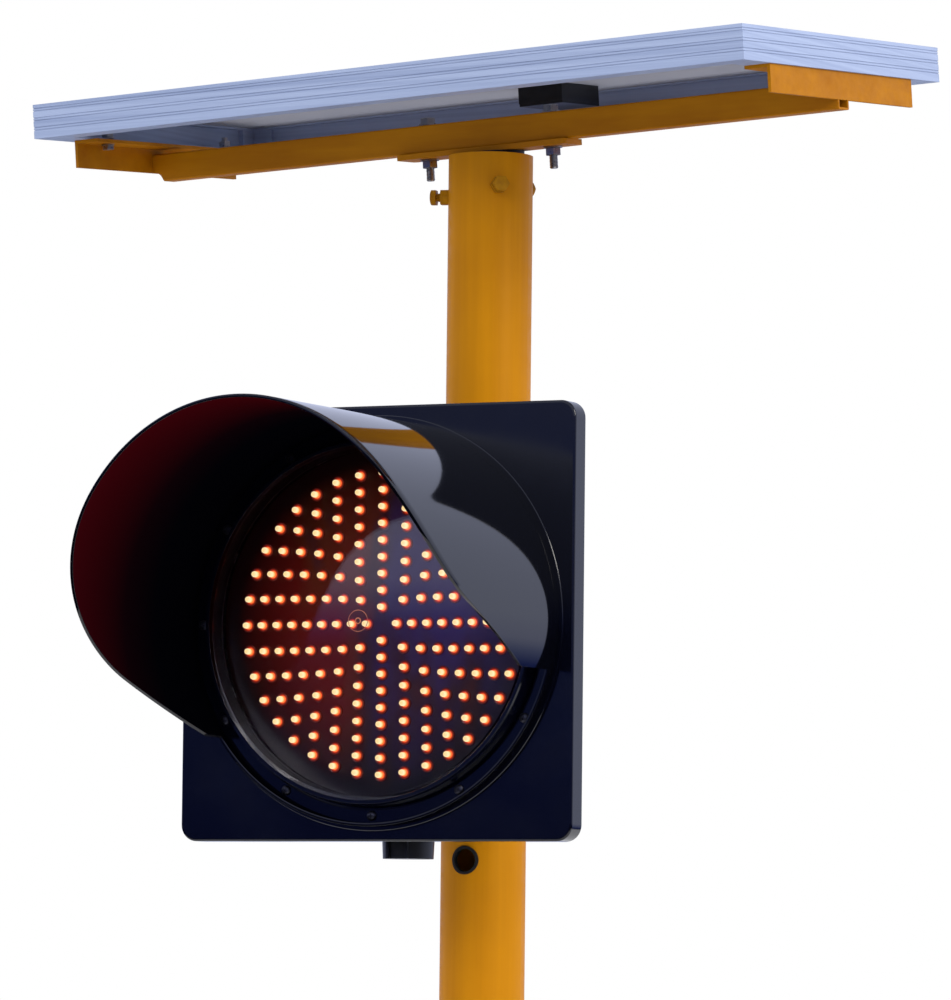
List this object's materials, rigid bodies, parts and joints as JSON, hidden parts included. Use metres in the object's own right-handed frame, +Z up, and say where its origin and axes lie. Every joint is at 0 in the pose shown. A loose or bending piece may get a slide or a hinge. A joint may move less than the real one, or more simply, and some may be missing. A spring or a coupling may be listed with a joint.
{
  "type": "solar traffic signal head",
  "caption": "Flashing solar traffic signal: a square hinged head with a round LED lens and a cut-away visor, clamped to a pole that carries a tilted solar panel.",
  "frame": {"origin": "on the pole's axis at its lower end", "axes": "+Z up along the pole, the lens faces -Y, +X to the viewer's right"},
  "size_m": [0.7695, 0.706, 0.9299],
  "materials": {
    "pole_paint": "golden yellow gloss enamel, faint upright streaks",
    "bracket_paint": "golden yellow enamel, brushed on",
    "zinc": "zinc plated fastener",
    "galvanised": "galvanised steel",
    "painted_fastener": "fastener painted over",
    "black_housing": "glossy black moulding with a blue tint",
    "visor_black": "glossy black",
    "clear_lens": "clear moulded lens",
    "circuit_board": "black solder mask",
    "led_red": "glowing red lamp",
    "rubber_black": "matt rubber",
    "guide_nylon": "black nylon",
    "black_enamel": "black enamel",
    "blackened_screw": "black oxide screw",
    "frame_aluminium": "anodised extrusion",
    "panel_glass": "low iron glass",
    "cell_blue": "dark blue cells",
    "backsheet_white": "white film",
    "box_black": "black moulding",
    "battery_case": "grey-black case",
    "webbing": "woven strap",
    "board_green": "green solder mask",
    "parts_grey": "heat sink and cans",
    "terminal_green": "green moulding",
    "brass": "turned brass"
  },
  "bodies": {
    "pole": {"pole": "pole_paint", "cable_grommet": "rubber_black", "set_screw_bosses": "painted_fastener", "set_screws": "painted_fastener"},
    "panel": {"spigot_tube": "black_enamel", "spigot_guide_rings": "guide_nylon", "top_plate": "bracket_paint", "support_rail": "bracket_paint", "left_cross_angle": "bracket_paint", "right_cross_angle": "bracket_paint", "rail_bolts": "zinc", "rail_washers": "zinc", "rail_nuts": "zinc", "panel_bolts": "zinc", "panel_washers": "zinc", "panel_nuts": "zinc", "frame_front_rail": "frame_aluminium", "frame_rear_rail": "frame_aluminium", "frame_left_rail": "frame_aluminium", "frame_right_rail": "frame_aluminium", "corner_keys": "frame_aluminium", "panel_glass": "panel_glass", "solar_cells": "cell_blue", "backsheet": "backsheet_white", "junction_box": "box_black", "junction_box_lid": "box_black", "cable_glands": "box_black"},
    "head": {"rear_housing": "black_housing", "housing_gasket": "rubber_black", "bottom_plug": "box_black", "hinge_pins": "zinc", "mounting_channel": "black_enamel", "channel_bolts": "zinc", "channel_nuts": "zinc", "lower_saddle": "black_enamel", "upper_saddle": "black_enamel", "u_bolts": "galvanised", "u_bolt_washers": "zinc", "u_bolt_nuts": "zinc", "battery": "battery_case", "battery_tray": "galvanised", "battery_strap": "webbing", "charge_controller": "board_green", "controller_parts": "parts_grey", "controller_spacers": "brass", "terminal_block": "terminal_green"},
    "door": {"door_frame": "black_housing", "lens_gasket": "rubber_black", "lens": "clear_lens", "lens_clips": "zinc", "lens_clip_screws": "zinc", "led_board": "circuit_board", "led_lamps": "led_red", "board_spacers": "brass", "board_screws": "zinc", "visor": "visor_black", "visor_ring": "visor_black", "visor_screws": "blackened_screw"},
    "latch_lower": {"latch_lower": "box_black"},
    "latch_upper": {"latch_upper": "box_black"}
  },
  "joints": [
    {"name": "panel_swivel", "type": "hinge", "parent": "pole", "child": "panel", "pos_m": [0, 0, 0.8], "axis": [0, 0, 1], "range_deg": [-180, 180]},
    {"name": "head_pan", "type": "hinge", "parent": "pole", "child": "head", "pos_m": [0, 0, 0.4], "axis": [0, 0, 1], "range_deg": [-45, 45]},
    {"name": "door_swing", "type": "hinge", "parent": "head", "child": "door", "pos_m": [-0.18, -0.19, 0.4], "axis": [0, 0, -1], "range_deg": [0, 110]},
    {"name": "latch_lower_turn", "type": "hinge", "parent": "head", "child": "latch_lower", "pos_m": [0.17675, -0.19, 0.308], "axis": [0, 1, 0], "range_deg": [0, 90]},
    {"name": "latch_upper_turn", "type": "hinge", "parent": "head", "child": "latch_upper", "pos_m": [0.17675, -0.19, 0.492], "axis": [0, 1, 0], "range_deg": [0, 90]}
  ]
}
